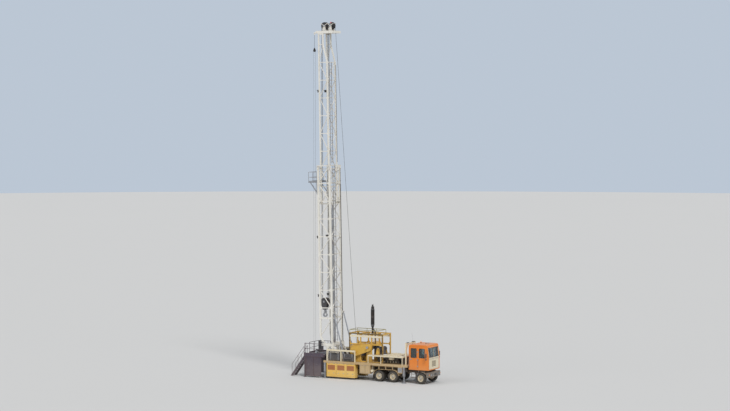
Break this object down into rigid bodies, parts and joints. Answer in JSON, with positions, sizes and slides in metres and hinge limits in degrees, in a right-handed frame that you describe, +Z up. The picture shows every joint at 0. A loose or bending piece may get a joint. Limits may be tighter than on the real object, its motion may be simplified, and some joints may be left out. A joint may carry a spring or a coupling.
{
  "type": "mobile oil drilling rig",
  "caption": "Carrier-mounted oil drilling rig with a telescoping lattice mast, drawworks, work floor and travelling block.",
  "frame": {"origin": "middle of the rig's footprint box, on the ground", "axes": "+X forward to the cab, +Y across the carrier, +Z up along the mast"},
  "size_m": [15.48, 3.1398, 35.1164],
  "materials": {
    "mast_paint": "cream-white enamel, chalky and dusty",
    "machine_yellow": "yellow enamel, worn on its edges",
    "cab_orange": "orange enamel, satin",
    "cream_paint": "cream enamel, satin",
    "tan_paint": "tan enamel, dusty",
    "dark_paint": "dark grey enamel, oily",
    "floor_steel": "dark purple-grey enamel, scuffed",
    "olive_paint": "olive enamel, dusty",
    "bare_steel": "machined and worn",
    "cast_sheave": "greased",
    "wire_rope": "greased strands",
    "stack_black": "sooty, matt",
    "window_glass": "tinted",
    "wheel_tyre": "dusty"
  },
  "bodies": {
    "rig": {"leveling_jacks": "bare_steel", "carrier_frame": "dark_paint", "deck_plates": "tan_paint", "front_bumper": "dark_paint", "axle_beams": "dark_paint", "cab_body": "cab_orange", "cab_front": "cream_paint", "cab_glass": "window_glass", "mast_base": "mast_paint", "side_boxes": "machine_yellow", "bay_frames": "cream_paint", "drawworks_frame": "machine_yellow", "drawworks_drum": "bare_steel", "chain_case": "machine_yellow", "engine_block": "dark_paint", "engine_canopy": "cream_paint", "exhaust_stack": "stack_black", "side_lockers": "tan_paint", "mast_rest": "cream_paint", "drum_guards": "machine_yellow", "hoist_rail": "olive_paint", "radiator": "dark_paint", "bay_equipment": "dark_paint", "chassis_tanks": "cream_paint", "racking_fingers": "bare_steel", "tugger_winch": "bare_steel", "floor_panels": "floor_steel", "lower_mast_near": "mast_paint", "lower_mast_far": "mast_paint", "lower_mast_back": "mast_paint", "upper_mast_near": "mast_paint", "upper_mast_far": "mast_paint", "upper_mast_back": "mast_paint", "crown_frame": "mast_paint", "crown_sheaves": "cast_sheave", "racking_board": "bare_steel", "scoping_ram": "bare_steel", "raising_rams": "bare_steel", "mast_ladder": "bare_steel", "work_floor": "floor_steel", "floor_rails": "floor_steel", "rotary_table": "bare_steel", "stair_treads": "floor_steel", "stair_stringers": "floor_steel", "rigging_lines": "wire_rope", "drilling_lines": "wire_rope"},
    "block": {"travelling_block": "dark_paint", "hook": "bare_steel"},
    "wheel_front_near": {"wheel_front_near": "wheel_tyre"},
    "wheel_front_far": {"wheel_front_far": "wheel_tyre"},
    "wheel_rear1_near": {"wheel_rear1_near": "wheel_tyre"},
    "wheel_rear1_far": {"wheel_rear1_far": "wheel_tyre"},
    "wheel_rear2_near": {"wheel_rear2_near": "wheel_tyre"},
    "wheel_rear2_far": {"wheel_rear2_far": "wheel_tyre"}
  },
  "joints": [
    {"name": "block_travel", "type": "slide", "parent": "rig", "child": "block", "axis": [0, 0, 1], "range_m": [0, 22.5], "deforming": ["drilling_lines"]},
    {"name": "wheel_front_near_turn", "type": "hinge", "parent": "rig", "child": "wheel_front_near", "pos_m": [6.81, 0, 0.57], "axis": [0, 1, 0], "continuous": true},
    {"name": "wheel_front_far_turn", "type": "hinge", "parent": "rig", "child": "wheel_front_far", "pos_m": [6.81, 0, 0.57], "axis": [0, 1, 0], "continuous": true},
    {"name": "wheel_rear1_near_turn", "type": "hinge", "parent": "rig", "child": "wheel_rear1_near", "pos_m": [2.27, 0, 0.57], "axis": [0, 1, 0], "continuous": true},
    {"name": "wheel_rear1_far_turn", "type": "hinge", "parent": "rig", "child": "wheel_rear1_far", "pos_m": [2.27, 0, 0.57], "axis": [0, 1, 0], "continuous": true},
    {"name": "wheel_rear2_near_turn", "type": "hinge", "parent": "rig", "child": "wheel_rear2_near", "pos_m": [3.77, 0, 0.57], "axis": [0, 1, 0], "continuous": true},
    {"name": "wheel_rear2_far_turn", "type": "hinge", "parent": "rig", "child": "wheel_rear2_far", "pos_m": [3.77, 0, 0.57], "axis": [0, 1, 0], "continuous": true}
  ]
}
